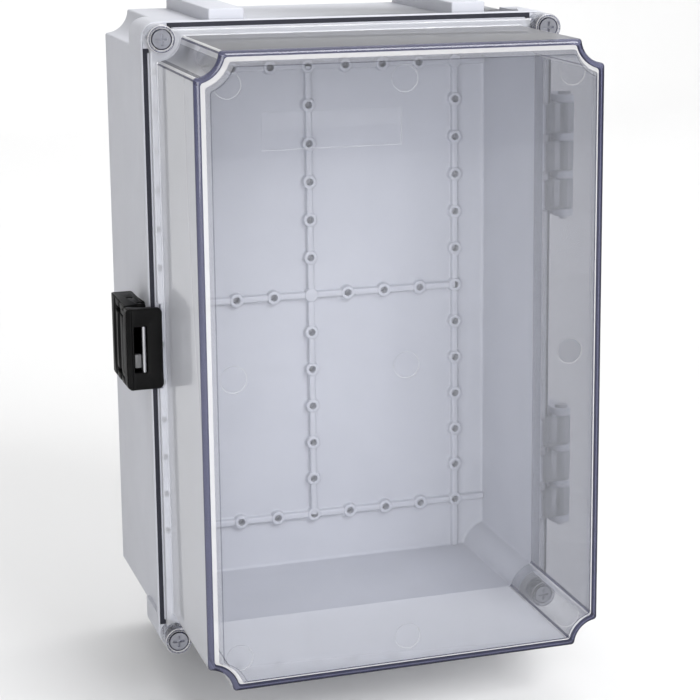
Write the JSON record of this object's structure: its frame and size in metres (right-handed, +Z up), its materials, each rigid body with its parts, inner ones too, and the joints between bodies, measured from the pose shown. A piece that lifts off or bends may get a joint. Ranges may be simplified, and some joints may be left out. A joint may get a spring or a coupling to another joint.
{
  "type": "dc combiner box",
  "caption": "Tall grey wall enclosure with a deep clear hinged cover, a black side latch, corner cover screws, a boss grid on its back wall and four wall feet; it is empty inside.",
  "frame": {"origin": "centre of the four wall screw holes, on the wall plane at the back of the box", "axes": "+X to the right seen from the front, +Y back into the wall, +Z up; the clear cover faces -Y"},
  "size_m": [0.2277, 0.18, 0.349],
  "materials": {
    "grey_plastic": "fine moulded satin",
    "clear_plastic": "clear polished polycarbonate",
    "black_plastic": "satin black moulding",
    "dark_plastic": "satin dark grey moulding",
    "gasket_rubber": "closed foam rubber",
    "brass": "knurled",
    "pin_steel": "ground",
    "zinc_steel": "zinc plated",
    "screw_steel": "satin stainless"
  },
  "bodies": {
    "base": {"base_shell": "grey_plastic", "rim_gasket": "gasket_rubber", "corner_inserts": "brass", "wall_foot_top_left": "grey_plastic", "wall_foot_top_right": "grey_plastic", "wall_foot_bottom_left": "grey_plastic", "wall_foot_bottom_right": "grey_plastic", "foot_screws": "zinc_steel", "hinge_bracket_upper": "grey_plastic", "hinge_bracket_lower": "grey_plastic", "hinge_bracket_screws": "zinc_steel", "hinge_pin_upper": "pin_steel", "hinge_pin_lower": "pin_steel", "latch_pivot_pin": "pin_steel"},
    "cover": {"clear_cover": "clear_plastic"},
    "screw_top_left": {"cover_screw_top_left": "screw_steel", "screw_seal_top_left": "gasket_rubber"},
    "screw_top_right": {"cover_screw_top_right": "screw_steel", "screw_seal_top_right": "gasket_rubber"},
    "screw_bottom_left": {"cover_screw_bottom_left": "screw_steel", "screw_seal_bottom_left": "gasket_rubber"},
    "screw_bottom_right": {"cover_screw_bottom_right": "screw_steel", "screw_seal_bottom_right": "gasket_rubber"},
    "lever": {"latch_lever": "black_plastic", "latch_claw_pin": "pin_steel"},
    "claw": {"latch_claw": "black_plastic", "latch_window_bar": "pin_steel"},
    "lock": {"latch_lock_slide": "dark_plastic"}
  },
  "joints": [
    {"name": "cover_hinge", "type": "hinge", "parent": "base", "child": "cover", "pos_m": [0.1085, -0.1, 0], "axis": [0, 0, 1], "range_deg": [0, 140]},
    {"name": "latch_lever_pivot", "type": "hinge", "parent": "base", "child": "lever", "pos_m": [-0.105, -0.094, 0], "axis": [0, 0, 1], "range_deg": [0, 70]},
    {"name": "latch_claw_pivot", "type": "hinge", "parent": "lever", "child": "claw", "pos_m": [-0.1074, -0.0815, 0], "axis": [0, 0, 1], "range_deg": [-70, 0]},
    {"name": "latch_lock", "type": "slide", "parent": "claw", "child": "lock", "axis": [0, 0, 1], "range_m": [0, 0.008]},
    {"name": "cover_screw_top_left_drive", "type": "slide", "parent": "cover", "child": "screw_top_left", "axis": [0, 1, 0], "range_m": [0, 0.0045]},
    {"name": "cover_screw_top_right_drive", "type": "slide", "parent": "cover", "child": "screw_top_right", "axis": [0, 1, 0], "range_m": [0, 0.0045]},
    {"name": "cover_screw_bottom_left_drive", "type": "slide", "parent": "cover", "child": "screw_bottom_left", "axis": [0, 1, 0], "range_m": [0, 0.0045]},
    {"name": "cover_screw_bottom_right_drive", "type": "slide", "parent": "cover", "child": "screw_bottom_right", "axis": [0, 1, 0], "range_m": [0, 0.0045]}
  ],
  "couplings": [
    {"joint": "latch_claw_pivot", "follows": "latch_lever_pivot", "ratio": -1}
  ]
}
